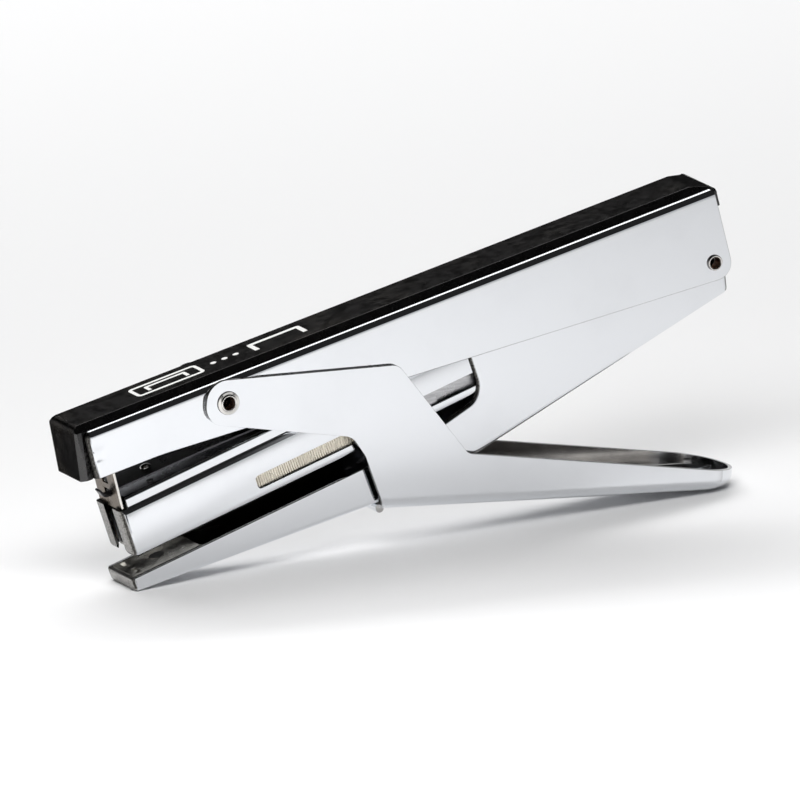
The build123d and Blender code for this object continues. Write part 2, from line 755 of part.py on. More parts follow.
def make_opening_spring():
    """The leaf in the arm that holds it away from the magazine."""
    front, bend, rear = -80.0, -69.0, -54.0
    lift = ARM_SHEET + 0.02
    return slab(
        3.5,
        (front, arm_floor(front) + lift),
        (front, arm_floor(front) + lift + SPRING_SHEET),
        (bend, arm_floor(bend) + lift + SPRING_SHEET, 6.0),
        (rear, -8.0),
        (rear + 0.4, -8.4),
        (bend + 0.4, arm_floor(bend + 0.4) + lift, 6.5),
    )


# -------------------------------------------------------------------- handle


def handle_plan(half, tail_radius):
    """The handle seen from above: parallel sides and a half-round tail."""
    body = Pos(HANDLE_TAIL_CENTRE / 2 - PAST, 0) * Rectangle(
        HANDLE_TAIL_CENTRE + PAST * 2, half * 2
    )
    tail = Pos(HANDLE_TAIL_CENTRE, 0) * Circle(tail_radius)
    return extrude(body + tail, amount=PAST * 2, both=True)


def make_handle():
    """Two plates from the ears, joined by a floor that runs from the lip to the tail."""
    past_tail = HANDLE_TAIL_CENTRE + HANDLE_HALF + 1
    side = slab(
        HANDLE_HALF,
        (-HANDLE_EAR, HANDLE_EAR_TOP, HANDLE_EAR * 0.93),
        (*HANDLE_SHOULDER, 3.4),
        (*HANDLE_WAIST, 3.0),
        (past_tail, HANDLE_TAIL_TOP),
        (past_tail, HANDLE_FLOOR),
        (LIP[0] - 0.1, LIP[1] + 0.1),
        (*HANDLE_KNEE[0], 4.0),
        (*HANDLE_KNEE[1], 4.0),
        (-HANDLE_EAR, HANDLE_EAR_LOW, HANDLE_EAR * 0.85),
    )
    handle = side & handle_plan(HANDLE_HALF, HANDLE_HALF)
    handle = fillet(lowest_edges(handle), HANDLE_BEND)
    inner_half = HANDLE_HALF - HANDLE_SHEET
    hollow = slab(
        inner_half,
        (LIP[0], HANDLE_FLOOR + HANDLE_SHEET - LIP_DIP),
        (LIP[0], PAST),
        (PAST * 4, PAST),
        (PAST * 4, HANDLE_FLOOR + HANDLE_SHEET),
        (HANDLE_TAIL_CENTRE, HANDLE_FLOOR + HANDLE_SHEET),
    )
    hollow &= handle_plan(inner_half, inner_half)
    hollow = fillet(lowest_edges(hollow), HANDLE_BEND - HANDLE_SHEET)
    handle -= hollow
    handle -= box((-PAST, LIP[0]), (-inner_half, inner_half), (-PAST, PAST))
    flat_half = HANDLE_HALF - HANDLE_BEND
    handle += crosswise(LIP_RADIUS, *LIP, -flat_half, flat_half)
    return handle - pivot_hole(FRONT_SHANK + RUNNING_GAP)


# ------------------------------------------------------------------ assembly


def to_body(part):
    return tip(part, BODY_PITCH)


def to_magazine(part):
    return tip(part, MAGAZINE_PITCH)


def to_handle(part):
    x, z = turned(*FRONT_PIVOT, BODY_PITCH)
    return Pos(x, 0, z) * tip(part, HANDLE_PITCH)


def assemble():
    """Every node in the shared frame, with the rear pivot axis at the origin."""
    return {
        "body_shell": to_body(make_body_shell()),
        "top_cover": to_body(make_top_cover()),
        "driver_blade": to_body(make_driver_blade()),
        "catch_tongue": to_body(make_catch_tongue()),
        "driver_rivets": to_body(make_driver_rivets()),
        "front_pivot_rivets": to_body(make_front_rivets()),
        "rear_pivot_rivets": to_body(make_rear_rivets()),
        "magazine_case": to_magazine(make_magazine_case()),
        "magazine_lid": to_magazine(make_magazine_lid()),
        "staple_rail": to_magazine(make_staple_rail()),
        "staple_strip": to_magazine(make_staple_strip()),
        "return_leaf_spring": to_magazine(make_return_leaf()),
        "leaf_spring_rivets": to_magazine(make_leaf_rivets()),
        "follower_rod": to_magazine(make_follower_rod()),
        "follower_catch": to_magazine(make_follower_catch()),
        "pusher": to_magazine(make_pusher()),
        "pusher_spring": to_magazine(make_pusher_spring()),
        "anvil_arm": to_magazine(make_anvil_arm()),
        "anvil_plate": to_magazine(make_anvil_plate()),
        "anvil_spacer": to_magazine(make_anvil_spacer()),
        "anvil_rivet": to_magazine(make_anvil_rivet()),
        "opening_spring": to_magazine(make_opening_spring()),
        "handle": to_handle(make_handle()),
    }


def main():
    nodes = assemble()
    boxes = [part.bounding_box() for part in nodes.values()]
    low_x = min(box.min.X for box in boxes)
    high_x = max(box.max.X for box in boxes)
    middle = (low_x + high_x) / 2
    base = min(box.min.Z for box in boxes)
    os.makedirs("parts", exist_ok=True)
    for name, part in nodes.items():
        export_step(Pos(-middle, 0, -base) * part, f"parts/{name}.step")
    front_x, front_z = turned(*FRONT_PIVOT, BODY_PITCH)
    print("rear pivot x, z:", round(-middle, 4), round(-base, 4))
    print("front pivot x, z:", round(front_x - middle, 4), round(front_z - base, 4))
    print("length:", round(high_x - low_x, 2))


if __name__ == "__main__":
    main()
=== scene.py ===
"""Plier stapler: materials, fine parts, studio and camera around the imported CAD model.

The frame is the row frame, in metres: -X is the nose, +X the rear rivets, Z is up, and
the stapler stands on z = 0. Shapes made here are drawn in millimetres, in the upright
frame of the upper body or of the magazine, and then tipped into place.
"""

import json
import math
import random

import bmesh
import bpy
from mathutils import Matrix, Vector


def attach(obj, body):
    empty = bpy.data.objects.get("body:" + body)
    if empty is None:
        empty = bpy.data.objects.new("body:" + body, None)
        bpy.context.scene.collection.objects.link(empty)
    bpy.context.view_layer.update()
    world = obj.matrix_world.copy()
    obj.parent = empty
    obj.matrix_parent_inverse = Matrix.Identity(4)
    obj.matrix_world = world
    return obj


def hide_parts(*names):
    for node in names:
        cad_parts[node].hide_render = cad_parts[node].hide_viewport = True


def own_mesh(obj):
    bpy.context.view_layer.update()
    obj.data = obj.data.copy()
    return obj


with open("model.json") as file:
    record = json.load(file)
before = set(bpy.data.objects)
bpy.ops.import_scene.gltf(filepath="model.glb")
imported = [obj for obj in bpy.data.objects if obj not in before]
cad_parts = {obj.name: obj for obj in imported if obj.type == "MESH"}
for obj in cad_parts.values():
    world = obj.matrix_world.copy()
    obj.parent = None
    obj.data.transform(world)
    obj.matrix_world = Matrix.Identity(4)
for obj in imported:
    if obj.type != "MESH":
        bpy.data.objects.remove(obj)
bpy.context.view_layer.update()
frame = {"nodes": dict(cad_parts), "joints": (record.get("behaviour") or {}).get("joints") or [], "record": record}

MM = 0.001
NODES = frame["nodes"]
JOINTS = {joint["name"]: joint for joint in frame["joints"]}
MOUNTS = {mount["name"]: mount for mount in frame["record"]["mounts"]}
random.seed(7)


# ------------------------------------------------------------------ placement


def tipped(pivot, pitch):
    """From an upright frame in mm, about a pivot, to the row frame in metres."""
    turn = Matrix.Rotation(-pitch, 4, "Y")
    return Matrix.Translation(pivot) @ turn @ Matrix.Scale(MM, 4)


rear_pivot = Vector(JOINTS["magazine_swing"]["pos_m"])
front_pivot = Vector(JOINTS["handle_squeeze"]["pos_m"])
slide_axis = Vector(JOINTS["follower_pull"]["axis"])
cover_normal = Vector(MOUNTS["cover_top"]["axis"])
MAGAZINE_PITCH = math.atan2(slide_axis.z, slide_axis.x)
BODY_PITCH = math.atan2(-cover_normal.x, cover_normal.z)
IN_MAGAZINE = tipped(rear_pivot, MAGAZINE_PITCH)
IN_BODY = tipped(rear_pivot, BODY_PITCH)


def extent(name, place):
    """Lowest and highest corner of a CAD node in an upright frame, in mm."""
    back = place.inverted()
    points = [back @ vertex.co for vertex in NODES[name].data.vertices]
    low = Vector([min(point[k] for point in points) for k in range(3)])
    high = Vector([max(point[k] for point in points) for k in range(3)])
    return low, high


# ------------------------------------------------------------------ materials


class Shader:
    """A material under construction, with short calls for its nodes."""

    def __init__(self, name):
        self.material = bpy.data.materials.new(name)
        self.material.use_nodes = True
        self.tree = self.material.node_tree
        self.bsdf = self.tree.nodes["Principled BSDF"]
        self.place = self.tree.nodes.new("ShaderNodeTexCoord")

    def node(self, kind, **settings):
        made = self.tree.nodes.new(kind)
        for key, value in settings.items():
            setattr(made, key, value)
        return made

    def link(self, source, target):
        self.tree.links.new(source, target)

    def feed(self, socket, value):
        if isinstance(value, bpy.types.NodeSocket):
            self.link(value, socket)
        else:
            socket.default_value = value

    def set(self, **values):
        for key, value in values.items():
            self.feed(self.bsdf.inputs[key.replace("_", " ").title()], value)

    def stretched(self, scale):
        """Object coordinates, scaled by a triple, for grain that runs one way."""
        mapping = self.node("ShaderNodeMapping")
        mapping.inputs["Scale"].default_value = scale
        self.link(self.place.outputs["Object"], mapping.inputs["Vector"])
        return mapping.outputs["Vector"]

    def noise(self, scale, detail=3.0, roughness=0.5, vector=None):
        made = self.node("ShaderNodeTexNoise")
        made.inputs["Scale"].default_value = scale
        made.inputs["Detail"].default_value = detail
        made.inputs["Roughness"].default_value = roughness
        source = vector or self.place.outputs["Object"]
        self.link(source, made.inputs["Vector"])
        return made.outputs["Fac"]

    def math(self, operation, first, second=0.0):
        made = self.node("ShaderNodeMath", operation=operation)
        self.feed(made.inputs[0], first)
        self.feed(made.inputs[1], second)
        return made.outputs[0]

    def span(self, value, low, high, to_low=0.0, to_high=1.0):
        """Maps a value from low..high to to_low..to_high, with soft ends."""
        made = self.node("ShaderNodeMapRange", interpolation_type="SMOOTHSTEP")
        self.link(value, made.inputs["Value"])
        made.inputs["From Min"].default_value = low
        made.inputs["From Max"].default_value = high
        made.inputs["To Min"].default_value = to_low
        made.inputs["To Max"].default_value = to_high
        return made.outputs["Result"]

    def mix(self, factor, first, second):
        """Mixes two colours by a factor."""
        made = self.node("ShaderNodeMix", data_type="RGBA")
        self.link(factor, made.inputs["Factor"])
        self.feed(made.inputs[6], first)
        self.feed(made.inputs[7], second)
        return made.outputs[2]

    def bump(self, height, distance, strength=1.0, normal=None):
        made = self.node("ShaderNodeBump")
        made.inputs["Distance"].default_value = distance
        made.inputs["Strength"].default_value = strength
        self.link(height, made.inputs["Height"])
        if normal:
            self.link(normal, made.inputs["Normal"])
        return made.outputs["Normal"]

    def parts(self, output):
        """X, Y and Z of one of the texture coordinates."""
        made = self.node("ShaderNodeSeparateXYZ")
        self.link(self.place.outputs[output], made.inputs["Vector"])
        return made.outputs

    def inside(self, half, outward):
        """1 on the inner faces of a channel: near the middle, and facing no way out."""
        distance = self.math("ABSOLUTE", self.parts("Object")["Y"])
        factor = self.math("LESS_THAN", distance, half * MM)
        for direction in outward:
            facing = self.node("ShaderNodeVectorMath", operation="DOT_PRODUCT")
            self.link(self.place.outputs["Normal"], facing.inputs[0])
            facing.inputs[1].default_value = direction
            closed = self.math("LESS_THAN", facing.outputs["Value"], 0.3)
            factor = self.math("MULTIPLY", factor, closed)
        return factor

    def cut_edges(self, half, bend):
        """1 on the cut edges of a channel's two walls. bend is 1 if its web is on top."""
        distance = self.math("ABSOLUTE", self.parts("Object")["Y"])
        outer = self.math("GREATER_THAN", distance, half * MM)
        sideways = self.math("ABSOLUTE", self.parts("Normal")["Y"])
        toward = self.math("MULTIPLY", self.parts("Normal")["Z"], float(bend))
        along = self.math("ABSOLUTE", self.parts("Normal")["X"])
        toward = self.math("SUBTRACT", toward, self.math("MULTIPLY", along, 0.6))
        outer = self.math("MULTIPLY", outer, self.span(toward, 0.05, 0.15, 1.0, 0.0))
        return self.math("MULTIPLY", outer, self.span(sideways, 0.75, 0.99, 1.0, 0.0))

    def to_nose(self, low, high):
        """1 where a face looks along -X, fading out between two slopes."""
        return self.span(self.math("MULTIPLY", self.parts("Normal")["X"], -1.0), low, high)


BRIGHT = (0.78, 0.795, 0.82)
SMUDGED = 0.96
ROUGH_PLATING = 0.045
ROUGH_SMUDGE = 0.035
ROUGH_SCRATCH = 0.03
ROUGH_NOSE = 0.16
ROUGH_CUT = 0.22
# Greys for the cut edges: bare grained steel, darkened further as painted shade of the seams between panels.
BURR_AND_SHADE_DARK = (0.03, 0.029, 0.027, 1)
BURR_AND_SHADE_LIGHT = (0.15, 0.143, 0.135, 1)


def chrome(name, inner_half=0, outward=(), edge=None, nose=None, inner_shade=(0.16, 0.30), tint=BRIGHT):
    """Bright plating with a faint waviness, smudges and hairline scratches.

    Inner faces and cut edges are rougher and darker. The inner faces have rougher plating and
    are darkened with painted shade, mottled at random. The cut edges are bare grained steel,
    darkened further with painted shade of the seams between panels; edge is (half width, bend)
    for cut_edges. nose is a (dark, light) pair of greys for the faces that look to the front,
    which are painted dark as a painted reflection, with a fine grain and rougher plating.
    inner_shade is the same for the painted shade of the inner faces, which are smoother the
    brighter they are.
    """
    m = Shader(name)
    smudge = m.span(m.noise(38.0, 4.0, 0.6), 0.45, 0.75)
    haze = m.span(m.noise(420.0, 3.0, 0.6), 0.3, 0.8, 0.0, 0.02)
    scratch = m.span(m.noise(900.0, 2.0, 0.5, m.stretched((0.06, 1.0, 1.0))), 0.62, 0.75)
    rough = m.math("ADD", m.math("MULTIPLY", smudge, ROUGH_SMUDGE), haze)
    rough = m.math("ADD", rough, m.math("MULTIPLY", scratch, ROUGH_SCRATCH))
    rough = m.math("ADD", rough, ROUGH_PLATING)
    colour = m.mix(smudge, (*tint, 1), tuple(c * SMUDGED for c in tint) + (1,))
    shade_mottle = m.span(m.noise(150.0, 4.0, 0.6), 0.3, 0.7)
    grain = m.span(m.noise(2400.0, 3.0, 0.65), 0.35, 0.65)
    if outward:
        # Painted shade: the inner faces of the channel get darker greys, mottled at random, for the shade inside
        # it; their plating is also rougher.
        inner = m.inside(inner_half, outward)
        rough_inside = 0.2 - 0.3 * inner_shade[0]
        dark, light = ((grey, grey * 0.98, grey * 0.96, 1) for grey in inner_shade)
        colour = m.mix(inner, colour, m.mix(shade_mottle, dark, light))
        rough = m.math("ADD", rough, m.math("MULTIPLY", inner, rough_inside))
    if nose:
        # Painted reflection: faces that look to the nose get dark grained greys for the dark they reflect; their
        # plating is also rougher.
        front = m.to_nose(0.25, 0.55)
        dark, light = ((grey * 1.03, grey, grey * 0.95, 1) for grey in nose)
        colour = m.mix(front, colour, m.mix(grain, dark, light))
        rough = m.math("ADD", rough, m.math("MULTIPLY", front, ROUGH_NOSE))
    if edge:
        # Cut edges: bare grained steel, darkened further as painted shade of the seams between panels.
        cut = m.cut_edges(*edge)
        burr_and_shade = m.mix(grain, BURR_AND_SHADE_DARK, BURR_AND_SHADE_LIGHT)
        colour = m.mix(cut, colour, burr_and_shade)
        rough = m.math("ADD", rough, m.math("MULTIPLY", cut, ROUGH_CUT))
    wave = m.bump(m.noise(70.0, 1.0, 0.4), 0.00003)
    fine = m.bump(m.noise(1500.0, 2.0, 0.5), 0.0000004, normal=wave)
    m.set(base_color=colour, metallic=1.0, roughness=rough)
    m.link(fine, m.bsdf.inputs["Normal"])
    return m.material


def brushed(name, dark, light, rough=0.28, along=(0.08, 1.0, 1.0), rim=0):
    """Ground or drawn steel: grain that runs one way, and patches of tone.

    Outside the half width rim, the sides get a light colour, a painted highlight along the edges.
    """
    m = Shader(name)
    grain = m.noise(2600.0, 3.0, 0.6, m.stretched(along))
    tone = m.noise(120.0, 4.0, 0.6)
    factor = m.math("ADD", m.math("MULTIPLY", grain, 0.5), m.math("MULTIPLY", tone, 0.5))
    colour = m.mix(m.span(factor, 0.3, 0.7), (*dark, 1), (*light, 1))
    roughness = m.span(tone, 0.3, 0.7, rough - 0.06, rough + 0.1)
    # Painted highlight: a light colour on the sides outside rim, for the bright line along the blade's edges.
    if rim:
        distance = m.math("ABSOLUTE", m.parts("Object")["Y"])
        outer = m.math("GREATER_THAN", distance, rim * MM)
        colour = m.mix(outer, colour, (0.78, 0.76, 0.72, 1))
    m.set(base_color=colour, metallic=1.0, roughness=roughness)
    m.link(m.bump(grain, 0.000004), m.bsdf.inputs["Normal"])
    return m.material


def satin_black(name):
    """Black satin finish with a fine texture and rubbed patches, dark at low angles."""
    m = Shader(name)
    rub = m.span(m.noise(60.0, 5.0, 0.65), 0.45, 0.8)
    colour = m.mix(rub, (0.078, 0.077, 0.077, 1), (0.112, 0.107, 0.101, 1))
    rough = m.span(m.noise(500.0, 4.0, 0.6), 0.3, 0.7, 0.24, 0.34)
    m.set(base_color=colour, metallic=1.0, roughness=rough)
    m.bsdf.inputs["Specular Tint"].default_value = (0.10, 0.10, 0.10, 1)
    grain = m.bump(m.noise(2800.0, 3.0, 0.6), 0.000008)
    m.link(grain, m.bsdf.inputs["Normal"])
    return m.material


def printed_white(name):
    """Screen-printed white, a little thin and uneven."""
    m = Shader(name)
    thin = m.span(m.noise(900.0, 4.0, 0.7), 0.55, 0.8)
    colour = m.mix(thin, (0.82, 0.82, 0.80, 1), (0.50, 0.50, 0.49, 1))
    m.set(base_color=colour, roughness=m.span(m.noise(300.0), 0.3, 0.7, 0.4, 0.55))
    m.link(m.bump(m.noise(2000.0, 3.0, 0.6), 0.000004), m.bsdf.inputs["Normal"])
    return m.material


UP, DOWN, NOSE, TAIL = (0, 0, 1), (0, 0, -1), (-1, 0, 0), (1, 0, 0)
# In the chrome looks, the pair after edge gives the painted dark reflection on the nose, and the pair after that
# the painted shade of the inner faces; rim on the driver blade gives its painted highlight.
LOOKS = {
    "body_shell": chrome("body_chrome", 8.3, (UP, NOSE), (8.25, 1), (0.012, 0.06)),
    "magazine_case": chrome("case_chrome", 6.6, (DOWN, NOSE), (6.55, -1), (0.10, 0.36), (0.03, 0.10)),
    "magazine_lid": chrome("lid_chrome", 5.8, (UP, NOSE), (6.0, 1), (0.05, 0.2), (0.03, 0.10)),
    "anvil_arm": chrome("arm_chrome", 6.45, (DOWN, NOSE), (6.6, -1), (0.10, 0.42), (0.06, 0.16)),
    "handle": chrome("handle_chrome", 9.2, (DOWN, TAIL, NOSE), (9.15, -1), None, (0.42, 0.6)),
    "top_cover": satin_black("cover_black"),
    "driver_blade": brushed("driver_steel", (0.06, 0.045, 0.034), (0.17, 0.135, 0.10), 0.22, rim=5.95),
    "catch_tongue": brushed("tongue_steel", (0.02, 0.02, 0.022), (0.07, 0.07, 0.075), 0.3),
    "return_leaf_spring": brushed("leaf_steel", (0.03, 0.03, 0.033), (0.11, 0.11, 0.12), 0.28),
    "opening_spring": brushed("opening_steel", (0.03, 0.03, 0.033), (0.11, 0.11, 0.12), 0.28),
    "anvil_plate": brushed("anvil_steel", (0.16, 0.15, 0.13), (0.55, 0.53, 0.48), 0.2),
}
zinc = brushed("zinc_steel", (0.38, 0.38, 0.39), (0.66, 0.66, 0.67), 0.3)
plated = chrome("rivet_plating", tint=(0.72, 0.70, 0.67))
bore_brown = brushed("rivet_bore", (0.30, 0.17, 0.11), (0.92, 0.64, 0.50), 0.45, (1, 0.08, 1))
edge_grey = brushed("flange_edge", (0.10, 0.098, 0.095), (0.3, 0.29, 0.28), 0.3)
wire_steel = brushed("staple_steel", (0.62, 0.58, 0.50), (0.90, 0.85, 0.74), 0.24, (1, 0.1, 0.1))
spring_steel = brushed("spring_steel", (0.30, 0.30, 0.31), (0.62, 0.62, 0.63), 0.22)
print_white = printed_white("print_white")
for name, node in NODES.items():
    look = LOOKS.get(name) or (plated if "rivet" in name else zinc)
    node.data.materials.clear()
    node.data.materials.append(look)


SHARP = 35.0
FLAT = 0.3


def soften(name, width, segments=2, merge=0.001):
    """Rounds a CAD node's sharp edges a little, by modifiers alone.

    Sizes are in mm. Points closer than merge are joined, so that no short edge throws
    the bevel out.
    """
    node = NODES[name]
    weld = node.modifiers.new("weld", "WELD")
    weld.merge_threshold = merge * MM
    flat = node.modifiers.new("flats", "DECIMATE")
    flat.decimate_type = "DISSOLVE"
    flat.angle_limit = math.radians(FLAT)
    bevel = node.modifiers.new("edges", "BEVEL")
    bevel.width = width * MM
    bevel.segments = segments
    bevel.limit_method = "ANGLE"
    bevel.angle_limit = math.radians(SHARP)
    bevel.use_clamp_overlap = False
    even = node.modifiers.new("normals", "WEIGHTED_NORMAL")
    even.keep_sharp = False
    even.mode = "FACE_AREA_WITH_ANGLE"
    even.weight = 50


soften("body_shell", 0.22, 3)
soften("handle", 0.09, 3, merge=0.3)
soften("anvil_arm", 0.11, 3, merge=0.15)
soften("magazine_lid", 0.15)
soften("magazine_case", 0.045, merge=0.15)
for name in ("driver_blade", "anvil_plate", "catch_tongue", "return_leaf_spring"):
    soften(name, 0.08)
for name in ("staple_rail", "follower_catch", "pusher", "opening_spring"):
    soften(name, 0.1)
soften("top_cover", 0.15, 3, merge=0.15)


# --------------------------------------------------------------------- pieces


def finish_piece(name, shape, place, body, looks, slot, replaces=()):
    """Turns a shape drawn in mm, in an upright frame, into a piece on a CAD body."""
    bmesh.ops.recalc_face_normals(shape, faces=shape.faces)
    shape.transform(place)
    mesh = bpy.data.meshes.new(name)
    shape.to_mesh(mesh)
    shape.free()
    for look in looks:
        mesh.materials.append(look)
    mesh.shade_smooth()
    mesh.set_sharp_from_angle(angle=math.radians(SHARP))
    made = bpy.data.objects.new(name, mesh)
    bpy.context.scene.collection.objects.link(made)
    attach(made, body)
    if replaces:
        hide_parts(*replaces)
    return made


def loft(shape, rings, closed_ends=False, capped=False):
    """Faces between neighbouring rings of points. Returns the faces, ring by ring."""
    made = [[shape.verts.new(point) for point in ring] for ring in rings]
    count = len(made[0])
    pairs = list(zip(made, made[1:]))
    if closed_ends:
        pairs.append((made[-1], made[0]))
    faces = []
    for first, second in pairs:
        for k in range(count):
            n = (k + 1) % count
            faces.append(shape.faces.new((first[k], first[n], second[n], second[k])))
    if capped:
        shape.faces.new(made[0])
        shape.faces.new(made[-1])
    return faces


def arc(centre_r, centre_h, radius, start, end, steps):
    """Points (r, h) along an arc, with angles in degrees."""
    points = []
    for k in range(steps + 1):
        angle = math.radians(start + (end - start) * k / steps)
        points.append((centre_r + radius * math.cos(angle), centre_h + radius * math.sin(angle)))
    return points


def lathe(shape, profile, place, segments=48):
    """Revolves a closed (radius, height) profile. place(r cos, r sin, h) gives a point."""
    rings = []
    for k in range(segments):
        angle = math.tau * k / segments
        c, s = math.cos(angle), math.sin(angle)
        rings.append([place(radius * c, radius * s, height) for radius, height in profile])
    return loft(shape, rings, closed_ends=True)


FRONT_RIVET = {"shank": 1.9, "bore": 1.45, "flange": 2.8, "inner_flange": 2.8}
REAR_RIVET = {"shank": 1.65, "bore": 1.4, "flange": 1.85, "inner_flange": 2.3}
RIM = 0.24
FLANGE = 0.35
INNER_FLANGE = 0.4


def make_hollow_rivets(name, node, centre, sizes):
    """A pair of hollow rivets: dished flange, rolled rim, and a bore left bare."""
    outer = extent(node, IN_BODY)[1].y - RIM
    inner = min(abs(v.co.y) for v in NODES[node].data.vertices) / MM
    shank, bore, flange, foot = (sizes[key] for key in ("shank", "bore", "flange", "inner_flange"))
    rim_r = (shank + bore) / 2 + 0.1
    base = outer - FLANGE
    flange_edge = range(5, 9)
    profile = [(foot - 0.1, inner), (foot, inner + 0.1)]
    profile += [(foot, inner + INNER_FLANGE), (shank, inner + INNER_FLANGE)]
    profile += [(shank, base), (flange - 0.02, base)]
    if flange > rim_r + RIM + 0.2:
        profile += arc(flange - 0.15, base + 0.13, 0.15, -10, 80, 4)
        profile += [(rim_r + RIM + 0.18, outer - 0.1), (rim_r + RIM + 0.04, outer - 0.04)]
    profile += arc(rim_r, outer, RIM, 0, 180, 10)
    throat = len(profile)
    profile += [(bore, outer - 0.25), (bore - 0.03, outer - 0.8)]
    profile += [(bore - 0.03, inner + 0.3), (bore + 0.1, inner)]
    shape = bmesh.new()
    for side in (-1, 1):
        def place(a, b, h):
            return Vector((centre[0] + a, side * h, centre[1] + b))
        faces = lathe(shape, profile, place)
        for k, face in enumerate(faces):
            step = k % len(profile)
            in_bore = throat <= step < throat + 3
            face.material_index = 1 if in_bore else 2 if step in flange_edge else 0
    looks = (plated, bore_brown, edge_grey)
    return finish_piece(name, shape, IN_BODY, "upper_body", looks, "plated_rivet", (node,))


WIRE_SECTION = ((-1, -0.5), (-0.5, -1), (0.5, -1), (1, -0.5), (1, 0.5), (0.5, 1), (-0.5, 1), (-1, 0.5))


def make_staples():
    """The strip as separate bent wires, glued side by side and a little uneven."""
    low, high = extent("staple_strip", IN_MAGAZINE)
    wire = 0.55
    pitch = 0.60
    bend = 0.55
    leg_y = high.y - wire / 2
    top = high.z - wire / 2
    half = pitch / 2 - 0.02
    shape = bmesh.new()
    count = int((high.x - low.x) / pitch)
    for k in range(count):
        x = low.x + pitch * (k + 0.5)
        lift = random.uniform(-0.02, 0.0)
        shift = random.uniform(-0.015, 0.0)
        path = [(leg_y + shift, low.z + 0.05)]
        path += arc(leg_y + shift - bend, top + lift - bend, bend, 0, 90, 3)
        path += [(-y, z) for y, z in reversed(path)]
        rings = []
        for i, (y, z) in enumerate(path):
            before = path[max(i - 1, 0)]
            after = path[min(i + 1, len(path) - 1)]
            along = Vector((after[0] - before[0], after[1] - before[1])).normalized()
            out = Vector((along.y, -along.x))
            ring = []
            for a, b in WIRE_SECTION:
                ring.append((x + a * half, y + out.x * b * wire / 2, z + out.y * b * wire / 2))
            rings.append(ring)
        loft(shape, rings, capped=True)
    place = (IN_MAGAZINE, "magazine", (wire_steel,), "staple_wire", ("staple_strip",))
    return finish_piece("staples", shape, *place)


def make_coil():
    """The pusher's coil spring, with closed coils at both ends."""
    low, high = extent("pusher_spring", IN_MAGAZINE)
    wire = 0.25
    radius = (high.z - low.z) / 2 - wire
    centre_z = (high.z + low.z) / 2
    turns, per_turn, closed = 46, 16, 2
    start, end = low.x + wire, high.x - wire
    free = (end - start - 2 * closed * 2 * wire) / (turns - 2 * closed)
    x = start
    rings = []
    for k in range(turns * per_turn + 1):
        turn = k / per_turn
        angle = math.tau * turn
        c, s = math.cos(angle), math.sin(angle)
        centre = Vector((x, radius * c, centre_z + radius * s))
        out = Vector((0, c, s))
        ahead = Vector((1, 0, 0))
        angles = [math.tau * n / 8 for n in range(8)]
        rings.append([centre + wire * (math.cos(t) * out + math.sin(t) * ahead) for t in angles])
        tight = turn < closed or turn >= turns - closed
        x += (2 * wire if tight else free) / per_turn
    shape = bmesh.new()
    loft(shape, rings, capped=True)
    place = (IN_MAGAZINE, "follower", (spring_steel,), "spring_wire", ("pusher_spring",))
    made = finish_piece("pusher_coil", shape, *place)
    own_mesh(made)
    return made


def rounded_rectangle(x, y, radius, steps=6):
    """Points round a rectangle from (low, high) pairs, with round corners."""
    points = []
    corners = ((x[1], y[1], 0), (x[0], y[1], 90), (x[0], y[0], 180), (x[1], y[0], 270))
    for cx, cy, start in corners:
        mx = cx - math.copysign(radius, cx - sum(x) / 2)
        my = cy - math.copysign(radius, cy - sum(y) / 2)
        points += arc(mx, my, radius, start, start + 90, steps)
    return points


def raised(shape, outline, low, high):
    """A flat plate from an outline of (x, y) points."""
    loft(shape, [[(x, y, z) for x, y in outline] for z in (low, high)], capped=True)


def make_print():
    """A generic mark on the cover: a framed staple, three dots and a larger staple."""
    top = extent("top_cover", IN_BODY)[1].z
    under, over = top - 0.02, top + 0.03
    shape = bmesh.new()
    x0, x1 = -147.0, -129.0
    outer = rounded_rectangle((x0, x1), (-3.4, 3.4), 1.2)
    inner = rounded_rectangle((x0 + 0.9, x1 - 0.9), (-2.5, 2.5), 0.5)
    levels = ((outer, under), (outer, over), (inner, over), (inner, under))
    rings = [[(x, y, z) for x, y in ring] for ring, z in levels]
    loft(shape, rings, closed_ends=True)

    def staple(x, width, height, wire):
        legs = -height / 2
        outline = [(x - width / 2, legs), (x - width / 2 + wire, legs)]
        outline += [(x - width / 2 + wire, height / 2 - wire), (x + width / 2 - wire, height / 2 - wire)]
        outline += [(x + width / 2 - wire, legs), (x + width / 2, legs)]
        outline += arc(x + width / 2 - wire * 0.6, height / 2 - wire * 0.6, wire * 0.6, 0, 90, 4)
        outline += arc(x - width / 2 + wire * 0.6, height / 2 - wire * 0.6, wire * 0.6, 90, 180, 4)
        bottom = [shape.verts.new((a, b, under)) for a, b in outline]
        top = [shape.verts.new((a, b, over)) for a, b in outline]
        count = len(outline)
        for k in range(count):
            n = (k + 1) % count
            shape.faces.new((bottom[k], bottom[n], top[n], top[k]))
        shape.faces.new(top)
        shape.faces.new(bottom)

    staple((x0 + x1) / 2, 11.0, 3.2, 0.9)
    for x in (-125.5, -122.5, -119.5):
        raised(shape, arc(x, 0, 0.75, 0, 345, 23), under, over)
    staple(-108.5, 14.0, 5.4, 1.2)
    return finish_piece("cover_mark", shape, IN_BODY, "upper_body", (print_white,), "black_cover")


def domed_head(shape, centre, base, radius, rise, shank, foot):
    """A rivet with a domed head on top of its shank."""
    profile = [(0.001, foot), (shank, foot), (shank, base), (radius, base), (radius, base + 0.12)]
    steps = 8
    for k in range(1, steps):
        angle = math.pi / 2 * k / steps
        profile.append((radius * math.cos(angle), base + 0.12 + (rise - 0.12) * math.sin(angle)))
    profile.append((0.001, base + rise))

    def place(a, b, h):
        return Vector((centre[0] + a, centre[1] + b, h))
    lathe(shape, profile, place, 32)


